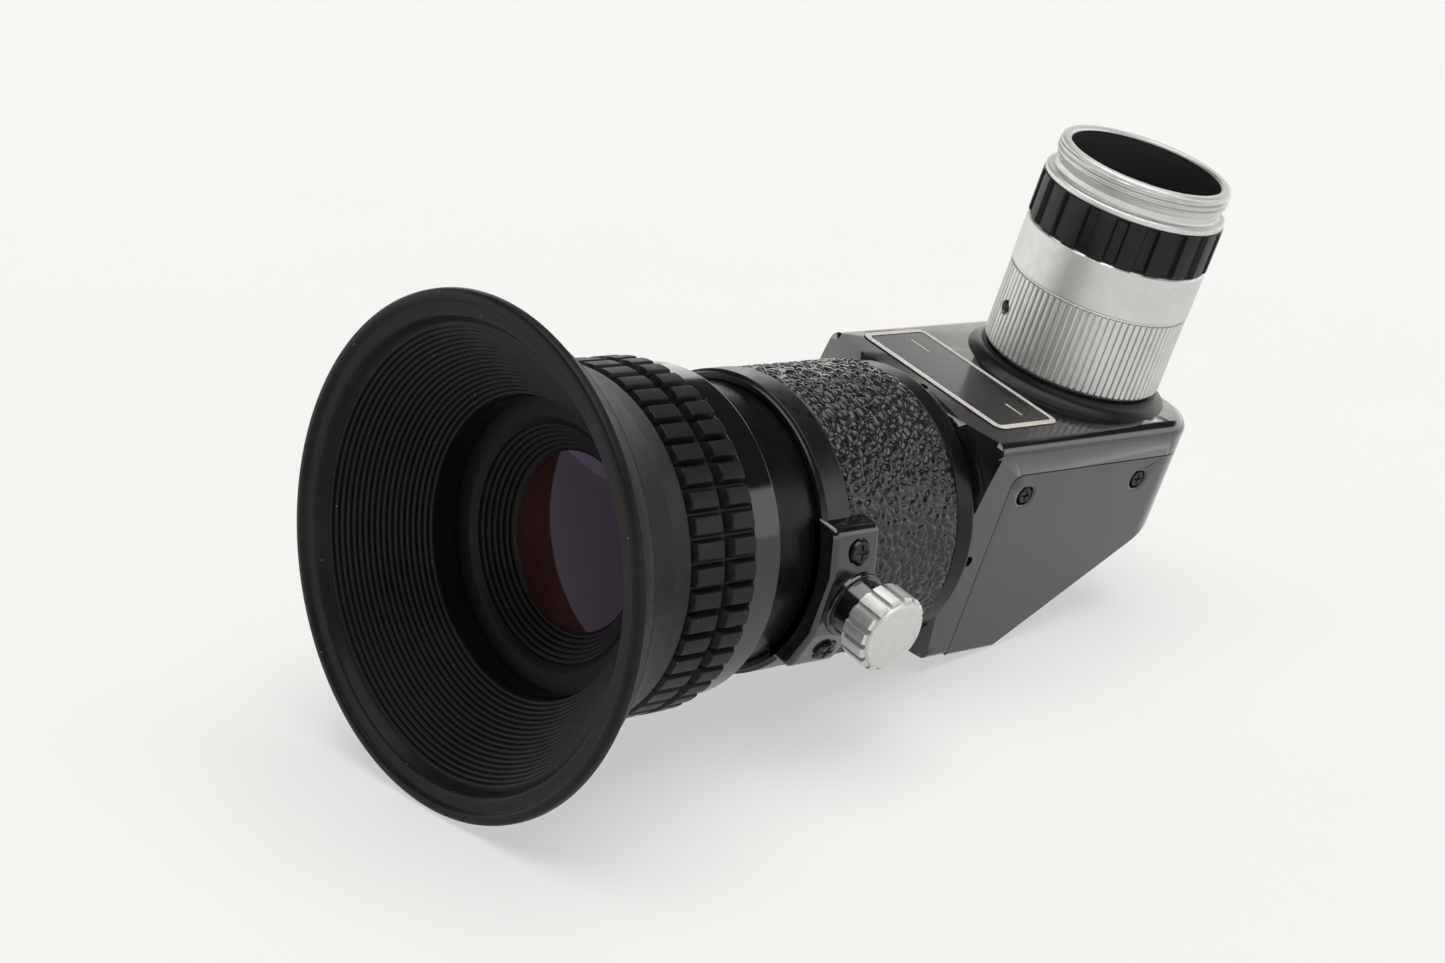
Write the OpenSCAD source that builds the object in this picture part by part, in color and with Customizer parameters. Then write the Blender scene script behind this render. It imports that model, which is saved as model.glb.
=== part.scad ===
// Right-angle finder: a swivelling prism attachment that screws to a round
// eyepiece thread and turns the view through ninety degrees into a large eyecup.
// Origin: centre of the seat face under the camera thread. +Z runs along the
// coupling towards the camera, and the eyepiece points along -Y.

/* [Prism housing] */
// Width of the housing across the side faces
housing_w = 26.2; // [25.4:0.2:27]
// Height of the top face above the barrel axis
top_h = 13.4; // [13.2:0.1:13.8]
// Distance from the coupling axis to the front face
front_l = 25.5; // [25:0.5:27]
// Distance from the coupling axis to the rear face
rear_l = 9.8; // [9.6:0.1:10.4]
// Depth of the flat underside below the barrel axis
drop_h = 12; // [11.8:0.1:12.6]
// Radius of the two upright rear corners
corner_r = 5.5; // [3:0.5:7]
// Distance from the coupling axis forward to the start of the sloping underside
slope_start = 13.5; // [13:0.1:14]
// Angle of the sloping rear underside
slope_angle = 31; // [28:0.1:32]
// Height of the top casting's visible side strip
strip_h = 3.5; // [3.2:0.1:4]
// Length of the front casting's visible side strip
strip_l = 4.2; // [4:0.1:5]
// Wall thickness of the wrap-around cover
cover_t = 1.3; // [1:0.1:1.4]
// Radius of the cover's upper front corners
cover_corner_r = 1.5; // [1:0.1:2]

/* [Coupling] */
// Radius over the crests of the camera thread
thread_r = 9.5; // [9.5:0.1:9.7]
// Length of the camera thread beyond its seat
thread_l = 3.3; // [2.6:0.1:4]
// Height of the seat face above the barrel axis
seat_h = 35.3; // [35.3:0.1:36]
// Radius over the fine knurl of the swivel collar
knurl_r = 9.95; // [9.8:0.05:10.1]
// Number of grooves in the fine knurl
knurl_n = 82; // [60:2:96]
// Radius of the ribbed ring
rib_r = 10.08; // [10:0.02:10.3]
// Number of ribs on the ribbed ring
rib_n = 19; // [16:1:26]
// Clear radius of the coupling's light path
light_r = 6.8; // [6:0.1:6.8]

/* [Barrel and eyepiece] */
// Radius of the bare barrel tube
barrel_r = 14.7; // [14.6:0.05:14.8]
// Thickness of the leatherette sleeve
leather_t = 0.4; // [0.2:0.05:0.4]
// Radius of the front ring
front_ring_r = 15.2; // [15.1:0.05:15.3]
// Radius of the sliding draw tube
draw_r = 14.1; // [14:0.02:14.1]
// Radius of the glossy eyepiece ring
gloss_r = 16.35; // [16:0.05:16.6]
// Travel of the eyepiece each way from rest
travel = 2; // [1:0.5:2]
// Radius of the eyecup's rim
rim_r = 24.5; // [23:0.5:27]
// Number of grip pads round the eyecup in each row
pad_n = 46; // [36:2:52]
// Height of the grip pads above the grip
pad_h = 0.85; // [0.5:0.05:1]

/* [Focusing] */
// Radius of the focusing knob
knob_r = 4.05; // [4:0.05:5]
// Number of grooves round the knob
flute_n = 15; // [10:1:18]
// Number of pinion teeth
pinion_n = 12; // [12:1:12]
// Gear module of the rack and pinion
gear_m = 0.5; // [0.5:0.01:0.5]

/* [Hidden] */
$fn = 96;

fit = 0.05;          // radial clearance of a running fit
face_gap = 0.2;      // gap between faces that turn past each other
line_gap = 0.12;     // visible joint line between the casting and its cover
reach = 60;          // longer than any cut in the part
half_w = housing_w / 2;

// stations along the barrel, measured from the coupling axis
cover_front = strip_l - front_l;
collar_y = -front_l;
leather_rear = -28.8;
leather_front = -44.7;
barrel_face = -48.35;
gloss_rear = -55.3;
grip_rear = -59;
rim_y = -80.4;
barrel_bore_end = -33;
draw_rear = -35.5;
spigot_r = 11.4;
spigot_bore_r = 10;
shaft_y = -44.3;

// stations up the coupling, measured from the barrel axis
plate_t = 2;
plate_z = top_h - plate_t;
socket_top = top_h + 1.3;
knurl_z = [socket_top + face_gap, 24.2];
band_top = 29.5;
rib_z = [band_top + face_gap, 34.6];
tube_foot = 10.2;
tube_top = 34.2;
swivel_r = 8.4;
neck_r = 7.8;
lens_seat_z = 26;
clip_z = 10.75;
clip_t = 0.5;
clip_groove_r = 7.9;
retainer_z = 32.9;
retainer_groove_r = 7.5;

// focusing gear: the pinion turns about X and meshes with the rack above it
pitch_r = gear_m * pinion_n / 2;
pressure = 20;
base_r = pitch_r * cos(pressure);
tip_r = pitch_r + 0.85 * gear_m;
root_r = pitch_r - 1.15 * gear_m;
backlash = 0.12;
pinion_x = [11.85, 12.7];
rack_x = [11.8, 12.75];
rack_y = [-50, -38.6];
rack_top = 4.8;
shaft_r = 1;
bush_r = 2.2;
boss_r = 3.1;
bracket_top_x = 16.5;
boss_top_x = 19;
knob_x = [boss_top_x + face_gap, 22.6];
shaft_end = 21.8;
bracket_y = [-48.7, -42.3];

// optics
lens_r = 11.9;
eye_y = -65.95;

// ---- helpers ----
// Everything is drawn about the crossing of the two optical axes, then lowered
// so that the origin sits on the seat face.
module on_axes() translate([0, 0, -seat_h]) children();

// turned part about the coupling axis, outline given as [height, radius]
module about_z(outline) rotate_extrude() polygon([for (p = outline) [p[1], p[0]]]);

// turned part about the barrel axis, outline given as [distance, radius]
module about_y(outline) rotate([-90, 0, 0]) about_z(outline);

// plain ring about the barrel axis
module ring_y(y0, y1, outer, inner)
    about_y([[y0, inner], [y1, inner], [y1, outer], [y0, outer]]);

// plain ring about the coupling axis
module ring_z(z0, z1, outer, inner)
    about_z([[z0, inner], [z1, inner], [z1, outer], [z0, outer]]);

// rod along X at the knob's station
module rod_x(x0, x1, r) translate([x0, shaft_y, 0]) rotate([0, 90, 0]) cylinder(h = x1 - x0, r = r);

// block between two corners
module block(a, b) translate(a) cube(b - a);

// points of an arc, angles in degrees
function arc(cx, cy, r, a0, a1, n) =
    [for (i = [0:n]) let (a = a0 + (a1 - a0) * i / n) [cx + r * cos(a), cy + r * sin(a)]];

// radius of the sphere that gives a lens face its sag
function sphere_r(half, sag) = (half * half + sag * sag) / (2 * sag);

// lens face outline from axis to edge as [distance, radius]
function face(y_edge, half, sag, side, n = 10) =
    [for (i = [0:n]) let (r = half * i / n, s = sphere_r(half, sag))
        [y_edge + side * (sqrt(s * s - r * r) - (s - sag)), r]];

// outline with n flat-topped teeth, used for knurls, ribs and pads
module toothed(n, outer, root, land) polygon([for (i = [0:n - 1])
    for (q = [[-0.5 + (1 - land) / 4, root], [-land / 2, outer], [land / 2, outer],
              [0.5 - (1 - land) / 4, root]])
        let (a = (i + q[0]) * 360 / n) [q[1] * cos(a), q[1] * sin(a)]]);

// housing shape, drawn in by t on its sides, rear and underside
module housing_shape(t) {
    w = half_w - t;
    rear = rear_l - t;
    r = corner_r - t;
    rise = t / cos(slope_angle);
    slope_y = (t - rise) / tan(slope_angle) - slope_start;
    intersection() {
        translate([0, 0, -reach / 2]) linear_extrude(reach) polygon(concat(
            [[-w, -front_l], [w, -front_l]],
            arc(w - r, rear - r, r, 0, 90, 16),
            arc(r - w, rear - r, r, 90, 180, 16)));
        rotate([90, 0, 90]) translate([0, 0, -half_w]) linear_extrude(housing_w) polygon([
            [-front_l, t - drop_h], [slope_y, t - drop_h],
            [rear, rise - drop_h + (rear + slope_start) * tan(slope_angle)],
            [rear, top_h], [-front_l, top_h]]);
    }
}

// everything behind and below the joint line between the casting and the cover
module cover_side(gap) {
    r = cover_corner_r;
    y = cover_front + gap;
    z = top_h - strip_h - gap;
    translate([-reach / 2, 0, 0]) rotate([90, 0, 90]) linear_extrude(reach)
        polygon(concat([[y, -reach], [reach, -reach], [reach, z]], arc(y + r, z - r, r, 90, 180, 12)));
}

// frame whose Y runs along the prism's roof edge and whose Z faces the light
module roof_frame() rotate([45, 0, 0]) children();

// places that the cover screws share
module at_cover_screws() for (side = [0, 1], y = [-18.1, 0.9])
    mirror([side, 0, 0]) translate([half_w, y, 7.2]) rotate([0, 90, 0]) children();

// places of the three screws that hold the barrel in the housing
module at_barrel_screws() for (a = [0, 90, 180])
    rotate([0, -a, 0]) translate([0, -23.6, 0]) rotate([0, 90, 0]) children();

// places of the two bracket screws, square to the bracket's flats
module at_bracket_screws() for (side = [0, 1])
    mirror([0, 0, side]) translate([15.75, -45.2, 5.5]) rotate([0, 90 - 18, 0]) children();

// places of the two screws that hold the prism spring
module at_spring_screws() for (side = [-1, 1])
    roof_frame() translate([side * 8.1, 0, -0.45]) rotate([180, 0, 0]) children();

// places of the two rack screws
module at_rack_screws() for (y = [rack_y[0] + 0.9, rack_y[1] - 0.9])
    translate([rack_x[0], y, 4.15]) rotate([0, 90, 0]) children();

// places of the two grub screws, opposite each other in the swivel collar
module at_collar_screws() for (a = [0, 180])
    rotate([0, 0, a - 115]) translate([0, 0, 19.65]) rotate([0, 90, 0]) children();

// pan-head screw with a cross recess, its shank pointing to -Z
module cross_screw(head_r, head_h, shank_r, shank_l) difference() {
    union() {
        cylinder(h = head_h, r1 = head_r, r2 = head_r * 0.86);
        translate([0, 0, -shank_l]) cylinder(h = shank_l, r = shank_r);
    }
    for (a = [0, 90]) rotate([0, 0, a])
        translate([-head_r * 0.62, -head_r * 0.13, head_h * 0.4])
            cube([head_r * 1.24, head_r * 0.26, head_h]);
}

// ---- prism housing ----
module prism_housing() {
    lug_x = half_w - cover_t - fit;
    color("#1b1b1a") on_axes() difference() {
        union() {
            intersection() {
                housing_shape(0);
                about_y([[-front_l, 0], [-front_l, 14.4], [1.5 - front_l, 18.8], [1.5 - front_l, reach],
                         [reach, reach], [reach, 0]]);
                difference() {
                    block([-reach, -front_l, -reach], [reach, reach, top_h]);
                    cover_side(0);
                }
            }
            intersection() {
                housing_shape(cover_t + fit);
                block([-lug_x, cover_front, 4.5], [lug_x, 5, top_h - strip_h]);
            }
        }
        // room for the prism and its holder
        intersection() {
            housing_shape(3.7);
            block([-reach, cover_front, -reach], [reach, reach, plate_z]);
        }
        ring_y(-front_l - 1, cover_front + 1, spigot_r, 0);
        translate([0, 0, tube_foot - face_gap]) cylinder(h = reach, r = 9.6);
        at_cover_screws() translate([0, 0, -4]) cylinder(h = 5, r = 0.6, $fn = 24);
        at_barrel_screws() cylinder(h = reach / 2, r = 0.6, $fn = 24);
    }
}

module prism_cover() color("#1e1e1d") on_axes() difference() {
    intersection() {
        housing_shape(0);
        cover_side(line_gap);
    }
    intersection() {
        housing_shape(cover_t);
        block([-reach, cover_front - 1, -reach], [reach, reach, reach]);
    }
    at_cover_screws() {
        translate([0, 0, -3]) cylinder(h = 4, r = 0.6, $fn = 24);
        translate([0, 0, -0.55]) cylinder(h = 1, r = 1.05, $fn = 48);
    }
}

module cover_screws() color("#4a4744") on_axes() at_cover_screws()
    translate([0, 0, -0.55]) cross_screw(0.98, 0.5, 0.6, 3, $fn = 36);

module label_plate() color("#232222") on_axes() translate([-0.8, -17, top_h])
    linear_extrude(0.15) hull() for (x = [-9.35, 9.35], y = [-3.7, 3.7])
        translate([x, y]) circle(r = 1.25, $fn = 32);

module prism_holder() color("#2a2a2a") on_axes() difference() {
    intersection() {
        housing_shape(3.8);
        block([-9.3, -9.4, -8], [9.3, 8.3, 9.9]);
        roof_frame() translate([-reach / 2, -reach / 2, -0.05]) cube(reach);
    }
    block([-6.85, -8.05, -reach], [6.85, 8.05, 8.05]);
    cylinder(h = reach, r = 6.3);
    ring_y(-reach, 0, 6.3, 0);
    at_spring_screws() translate([0, 0, -3]) cylinder(h = 4, r = 0.5, $fn = 24);
}

module roof_prism() color("#cfe3ea") on_axes() intersection() {
    block([-6.8, -8, -7], [6.8, 8, 8]);
    housing_shape(cover_t + 0.6);
    roof_frame() rotate([90, 0, 0]) translate([0, 0, -20]) linear_extrude(40)
        polygon([[0, 0], [8, 8], [8, 20], [-8, 20], [-8, 8]]);
}

module prism_spring() color("#c9a45a") on_axes() difference() {
    roof_frame() translate([-9.2, -2.4, -0.45]) cube([18.4, 4.8, 0.4]);
    at_spring_screws() translate([0, 0, -3]) cylinder(h = 4, r = 0.5, $fn = 24);
}

module spring_screws() color("#8d8d8d") on_axes() at_spring_screws()
    cross_screw(1, 0.5, 0.5, 2.2, $fn = 36);

module swivel_socket() color("#171717") on_axes() about_z([
    [plate_z, swivel_r + fit], [plate_z, 9.6], [top_h, 9.6], [top_h, 11.2],
    [top_h + 0.25, 11.1], [socket_top - 0.2, 10.25], [socket_top, 10], [socket_top, swivel_r + fit]]);

// ---- barrel ----
module barrel_tube() color("#1c1c1c") on_axes() difference() {
    about_y([
        [-47.9, draw_r + fit], [barrel_bore_end, draw_r + fit],
        [barrel_bore_end, spigot_bore_r], [-21.6, spigot_bore_r], [-21.6, spigot_r],
        [collar_y, spigot_r], [collar_y, 14.4], [leather_rear, 14.4], [leather_rear, barrel_r],
        [leather_front, barrel_r], [leather_front, 14.6], [-47.9, 14.6]]);
    rod_x(12, 16, bush_r);
}

module leatherette_sleeve() color("#3a3a38") on_axes() difference() {
    ring_y(leather_front, leather_rear, barrel_r + leather_t, barrel_r);
    rod_x(12, 16, bush_r);
}

module front_ring() color("#262626") on_axes() difference() {
    about_y([[barrel_face, 14.25], [-47.9, 14.25], [-47.9, 14.6], [leather_front, 14.6],
        [leather_front, front_ring_r], [barrel_face + 0.3, front_ring_r], [barrel_face, 14.9]]);
    rod_x(12, 16, bush_r);
}

module barrel_screws() color("#5a5752") on_axes() at_barrel_screws()
    translate([0, 0, spigot_r]) difference() {
        cylinder(h = 0.95, r = 0.6, $fn = 36);
        translate([-1, -0.1, 0.6]) cube([2, 0.2, 1]);
    }

module knob_bracket() color("#181818") on_axes() difference() {
    rotate([90, 0, 0]) translate([0, 0, -bracket_y[1]]) linear_extrude(bracket_y[1] - bracket_y[0])
        polygon([[11.8, 7.8], [15, 7.8], [bracket_top_x, 3.2],
                 [bracket_top_x, -3.2], [15, -7.8], [11.8, -7.8]]);
    ring_y(barrel_face, 0, front_ring_r, 0);
    ring_y(-reach, 0, draw_r + face_gap, 0);
    rod_x(12, 20, bush_r);
    at_bracket_screws() translate([0, 0, -3]) cylinder(h = 4, r = 0.7, $fn = 24);
}

module bracket_screws() color("#222222") on_axes() at_bracket_screws()
    cross_screw(1.25, 0.45, 0.7, 1, $fn = 36);

module shaft_bush() color("#1a1a1a") on_axes() difference() {
    union() {
        rod_x(14.4, bracket_top_x, bush_r);
        rod_x(bracket_top_x, boss_top_x, boss_r);
    }
    rod_x(12, 20, shaft_r + fit);
}

// ---- coupling ----
module swivel_tube() color("#c9c9c6") on_axes() about_z([
    [tube_foot, light_r], [tube_foot, swivel_r], [clip_z - 0.03, swivel_r],
    [clip_z - 0.03, clip_groove_r], [clip_z + clip_t + 0.03, clip_groove_r],
    [clip_z + clip_t + 0.03, swivel_r], [knurl_z[0], swivel_r], [knurl_z[0], 9],
    [knurl_z[1], 9], [knurl_z[1], 10], [band_top - 0.25, 10], [band_top, 9.8],
    [band_top, neck_r], [retainer_z - 0.03, neck_r], [retainer_z - 0.03, retainer_groove_r],
    [retainer_z + 0.48, retainer_groove_r], [retainer_z + 0.48, neck_r], [tube_top, neck_r],
    [tube_top, 7.05], [lens_seat_z, 7.05], [lens_seat_z, light_r]]);

module swivel_circlip() color("#8f8f8f") on_axes() difference() {
    ring_z(clip_z, clip_z + clip_t, 9.1, clip_groove_r);
    block([-1.2, 0, 0], [1.2, 20, 20]);
}

module knurled_collar() color("#bdbdbb") on_axes() difference() {
    union() {
        translate([0, 0, knurl_z[0] + 0.5]) linear_extrude(knurl_z[1] - knurl_z[0] - 0.8)
            toothed(knurl_n, knurl_r, knurl_r - 0.3, 0.55);
        ring_z(knurl_z[0], knurl_z[0] + 0.5, knurl_r - 0.15, 9);
        ring_z(knurl_z[1] - 0.3, knurl_z[1], knurl_r - 0.1, 9);
    }
    cylinder(h = reach, r = 9);
    at_collar_screws() cylinder(h = 20, r = 0.9, $fn = 36);
}

module collar_screws() color("#444444") on_axes() at_collar_screws()
    translate([0, 0, 9]) difference() {
        cylinder(h = 0.5, r = 0.85, $fn = 36);
        translate([-1, -0.12, 0.25]) cube([2, 0.24, 1]);
    }

module objective_lens() color("#b9c6d8") on_axes() about_z(concat(
    [[lens_seat_z, 0]], [[lens_seat_z, 7]], [for (i = [10:-1:0]) face(lens_seat_z + 2.2, 7, 0.8, 1)[i]]));

module lens_ring() color("#1a1a1a") on_axes() about_z([[lens_seat_z + 2.55, 5.8],
    [lens_seat_z + 2.25, 7], [lens_seat_z + 3.6, 7], [lens_seat_z + 3.6, 5.8]]);

module sleeve_retainer() color("#8f8f8f") on_axes() difference() {
    ring_z(retainer_z, retainer_z + 0.45, 8.2, retainer_groove_r);
    block([-1, 0, 0], [1, 20, 60]);
}

module ribbed_ring() color("#1d1d1d") on_axes() difference() {
    union() {
        rotate([0, 0, -8.8]) translate([0, 0, rib_z[0]]) linear_extrude(rib_z[1] - rib_z[0] - 0.25)
            toothed(rib_n, rib_r, rib_r - 0.45, 0.6);
        ring_z(rib_z[1] - 0.3, rib_z[1], rib_r - 0.12, 9.4);
    }
    cylinder(h = reach, r = 9.4);
}

module threaded_sleeve() color("#d2d2cf") on_axes() about_z([
    [rib_z[0], neck_r + fit], [rib_z[0], 9.4], [rib_z[1], 9.4], [rib_z[1], 9.95],
    [seat_h, 9.95], [seat_h, thread_r], [seat_h + thread_l - 0.2, thread_r],
    [seat_h + thread_l, thread_r - 0.3], [seat_h + thread_l, 8.45],
    [seat_h + thread_l - 0.3, 8.3], [32.7, 8.3], [32.7, neck_r + fit]]);

// ---- eyepiece ----
module draw_tube() color("#242424") on_axes() difference() {
    about_y([[-57.5, 11], [draw_rear, 11], [draw_rear, draw_r], [gloss_rear, draw_r],
        [gloss_rear, 13], [-57.5, 13]]);
    // pocket for the rack and pinion
    block([9, -50.2, -3.8], [12.8, -38.4, rack_top + 0.05]);
    // slot that lets the shaft pass while the tube slides
    block([9, shaft_y - shaft_r - travel - 0.2, -1.2], [15, shaft_y + shaft_r + travel + 0.2, 1.2]);
    at_rack_screws() cylinder(h = 1.4, r = 0.4, $fn = 24);
}

// tooth space of the rack, centred on the origin, pitch line along X
module rack_tooth() {
    half = gear_m * PI / 4 - backlash / 2;
    tip = 0.65 * gear_m;
    root = 1.3 * gear_m;
    polygon([[-half - root * tan(pressure), root], [-half + tip * tan(pressure), -tip],
             [half - tip * tan(pressure), -tip], [half + root * tan(pressure), root]]);
}

module focus_rack() color("#b58b45") on_axes() difference() {
    translate([rack_x[0], 0, 0]) rotate([90, 0, 90]) linear_extrude(rack_x[1] - rack_x[0]) union() {
        translate([rack_y[0], pitch_r + 1.25 * gear_m]) square([rack_y[1] - rack_y[0],
            rack_top - pitch_r - 1.25 * gear_m]);
        for (i = [-3:3]) translate([shaft_y + i * gear_m * PI, pitch_r]) rack_tooth();
    }
    at_rack_screws() translate([0, 0, -1]) cylinder(h = 4, r = 0.4, $fn = 24);
}

module rack_screws() color("#8d8d8d") on_axes() at_rack_screws() rotate([180, 0, 0])
    cross_screw(0.6, 0.3, 0.4, 1.3, $fn = 30);

module field_stop() color("#151515") on_axes() ring_y(draw_rear - 1, draw_rear - 0.2, 11, 4.6);

module eyepiece_ring() color("#0f0f0f") on_axes() about_y([
    [gloss_rear, 13], [gloss_rear, gloss_r - 0.25], [gloss_rear - 0.25, gloss_r],
    [grip_rear, gloss_r], [grip_rear, 14.88], [-68.4, 14.88], [-68.4, 12], [-57.5, 12], [-57.5, 13]]);

module field_lens() color("#b9c6d8") on_axes() about_y(concat(
    [[-57.6, 0], [-57.6, lens_r], [-58.4, lens_r]],
    [for (i = [10:-1:0]) face(-58.4, lens_r - 0.01, 1.6, -1)[i]]));

module lens_spacer() color("#1a1a1a") on_axes() about_y([
    [-62.45, 10.9], [-58.75, 10.9], [-58.45, lens_r], [-62.45, lens_r]]);

module eye_lens() color("#7a5560") on_axes() about_y(concat(
    [[-62.5, 0], [-62.5, lens_r], [eye_y, lens_r]],
    [for (i = [10:-1:0]) face(eye_y, lens_r - 0.01, 0.7, -1)[i]]));

module lens_retainer() color("#181818") on_axes() about_y(concat(
    [[-66, 12], [-68.4, 12], [-68.4, 14.3], [-69.6, 14.3], [-69.2, 11.6], [-68.9, 11.3]],
    [for (i = [0:4]) for (q = [[0, 0], [0.42, 0], [0.42, 0.12]])
        [-68.9 + i * 0.48 + q[0], 11.3 - i * 0.46 - q[0] + q[1]]],
    [[-66.75, 8.9], [-66.45, 8.9], [-66.3, 9.6]]));

module eyecup() color("#2b2b2a") on_axes() difference() {
    union() {
        about_y([[grip_rear, 14.9], [grip_rear, 16.2], [-67.8, 16.6], [-70.6, 17.6], [-73.6, 19.4],
            [-76.4, 21.8], [-78.2, 22.9], [-79.4, 24.1], [rim_y, rim_r], [rim_y - 0.6, rim_r - 0.3],
            [rim_y - 0.8, rim_r - 0.9], [rim_y - 0.4, rim_r - 1.5], [-71.7, 14], [-69.7, 14], [-69.7, 14.9]]);
        for (y = [[-67.4, -63.4], [-62.6, grip_rear]])
            rotate([-90, 0, 0]) translate([0, 0, y[0]]) linear_extrude(y[1] - y[0])
                toothed(pad_n, 16.35 + pad_h, 16.3, 0.62);
    }
    ring_y(-69.7, grip_rear + 1, 14.9, 0);
}

// ---- focusing knob ----
module focus_knob() color("#d4d4d1") on_axes() difference() {
    translate([knob_x[0], shaft_y, 0]) rotate([0, 90, 0]) difference() {
        union() {
            cylinder(h = 2.8, r = knob_r);
            translate([0, 0, 2.8]) cylinder(h = 0.3, r1 = knob_r, r2 = knob_r - 0.4);
            cylinder(h = knob_x[1] - knob_x[0], r = knob_r - 0.55);
        }
        for (i = [0:flute_n - 1]) rotate([0, 0, i * 360 / flute_n])
            translate([knob_r - 0.4, -0.26, -1]) cube([2, 0.52, 6]);
    }
    rod_x(10, shaft_end, shaft_r);
    translate([knob_x[0] + 1.5, shaft_y, -knob_r - 1]) cylinder(h = knob_r + 1, r = 0.6, $fn = 24);
}

module knob_grub_screw() color("#555555") on_axes()
    translate([knob_x[0] + 1.5, shaft_y, -3.6]) difference() {
        cylinder(h = 2.6, r = 0.6, $fn = 24);
        translate([-1, -0.1, -0.1]) cube([2, 0.2, 0.4]);
    }

module focus_shaft() color("#a8a8a8") on_axes() rod_x(11.4, shaft_end, shaft_r);

// involute gear flank: angle from the tooth's centre line at radius r
function inv(r) = let (c = base_r / max(r, base_r), a = acos(c)) tan(a) * 180 / PI - a;
function half_tooth(r) = (90 / pinion_n - backlash / pitch_r * 45 / PI)
    + inv(pitch_r) - inv(r);

module focus_pinion() color("#b58b45") on_axes() difference() {
    radii = [for (i = [0:5]) max(root_r, base_r) + (tip_r - max(root_r, base_r)) * i / 5];
    translate([pinion_x[0], shaft_y, 0]) rotate([90, 0, 90]) linear_extrude(pinion_x[1] - pinion_x[0])
        polygon([for (k = [0:pinion_n - 1])
            for (q = concat([[root_r, -1]], [for (r = radii) [r, -1]],
                            [for (i = [5:-1:0]) [radii[i], 1]], [[root_r, 1]]))
                let (a = 90 + (k + 0.5) * 360 / pinion_n + q[1] * half_tooth(q[0]))
                    [q[0] * cos(a), q[0] * sin(a)]]);
    rod_x(10, 20, shaft_r);
}

module friction_washer() color("#9a9a98") on_axes() difference() {
    rod_x(boss_top_x + 0.04, boss_top_x + face_gap - 0.02, 2.5);
    rod_x(10, 20, shaft_r);
}

prism_housing();
prism_cover();
cover_screws();
label_plate();
prism_holder();
roof_prism();
prism_spring();
spring_screws();
swivel_socket();
barrel_tube();
leatherette_sleeve();
front_ring();
barrel_screws();
knob_bracket();
bracket_screws();
shaft_bush();
swivel_tube();
swivel_circlip();
knurled_collar();
collar_screws();
objective_lens();
lens_ring();
sleeve_retainer();
ribbed_ring();
threaded_sleeve();
draw_tube();
focus_rack();
rack_screws();
field_stop();
eyepiece_ring();
field_lens();
lens_spacer();
eye_lens();
lens_retainer();
eyecup();
focus_knob();
knob_grub_screw();
focus_shaft();
focus_pinion();
friction_washer();
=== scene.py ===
"""Right-angle finder: the looks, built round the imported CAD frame.

Lengths in this file are millimetres in the row frame, and are scaled to metres
when a mesh is made. Stations come from the boxes of the CAD nodes.
"""
import math

import bmesh
import bpy
import numpy as np
from mathutils import Matrix, Vector, noise


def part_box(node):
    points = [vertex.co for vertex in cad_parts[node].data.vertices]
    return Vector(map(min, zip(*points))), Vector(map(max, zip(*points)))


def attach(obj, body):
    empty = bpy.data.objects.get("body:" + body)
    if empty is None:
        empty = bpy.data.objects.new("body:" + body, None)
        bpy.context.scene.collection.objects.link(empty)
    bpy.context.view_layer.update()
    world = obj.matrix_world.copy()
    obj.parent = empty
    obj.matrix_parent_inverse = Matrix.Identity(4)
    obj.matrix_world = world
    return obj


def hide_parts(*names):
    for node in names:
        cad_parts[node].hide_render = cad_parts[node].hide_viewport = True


MM = 0.001
SIDES = 160            # steps round a turned piece

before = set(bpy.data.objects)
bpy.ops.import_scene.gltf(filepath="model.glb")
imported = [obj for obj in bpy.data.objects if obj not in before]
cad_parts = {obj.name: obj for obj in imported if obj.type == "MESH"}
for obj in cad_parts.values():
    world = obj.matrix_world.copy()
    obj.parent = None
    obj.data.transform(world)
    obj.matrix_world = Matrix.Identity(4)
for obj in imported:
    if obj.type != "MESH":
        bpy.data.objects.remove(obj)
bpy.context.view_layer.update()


# ---- stations, all from the frame ----
def span(node, axis):
    """Lowest and highest millimetre of a CAD node along an axis."""
    low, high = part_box(node)
    return low["xyz".index(axis)] / MM, high["xyz".index(axis)] / MM


def radius(node, axis):
    """Outer radius of a turned CAD node, measured across an axis."""
    low, high = span(node, axis)
    return (high - low) / 2


AXIS_Z = sum(span("barrel_tube", "z")) / 2         # height of the barrel axis
TOP_Z = span("prism_housing", "z")[1]              # top face of the housing
HALF_W = span("prism_housing", "x")[1]
RIM_Y, GRIP_Y = span("eyecup", "y")
RIM_R = radius("eyecup", "x")
GLOSS_Y = span("eyepiece_ring", "y")
GLOSS_R = radius("eyepiece_ring", "x")
KNOB_Y = sum(span("focus_knob", "y")) / 2
FRONT_Y, REAR_Y = span("prism_housing", "y")       # front and rear faces of the housing
COVER_TOP = span("prism_cover", "z")[1]
COVER_FRONT = span("prism_cover", "y")[0]


# ---- mesh helpers ----
def carve(mesh, tools, operation="DIFFERENCE"):
    """The mesh with other meshes cut from it, or kept only where it meets them."""
    shapes = [bpy.data.objects.new("carved", one) for one in (mesh, *tools)]
    for shape in shapes:
        bpy.context.scene.collection.objects.link(shape)
    for tool in shapes[1:]:
        cut = shapes[0].modifiers.new("cut", "BOOLEAN")
        cut.operation = operation
        cut.solver = "MANIFOLD"
        cut.object = tool
    ready = shapes[0].evaluated_get(bpy.context.evaluated_depsgraph_get())
    result = bpy.data.meshes.new_from_object(ready)
    for shape in shapes:
        bpy.data.objects.remove(shape)
    return result


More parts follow.
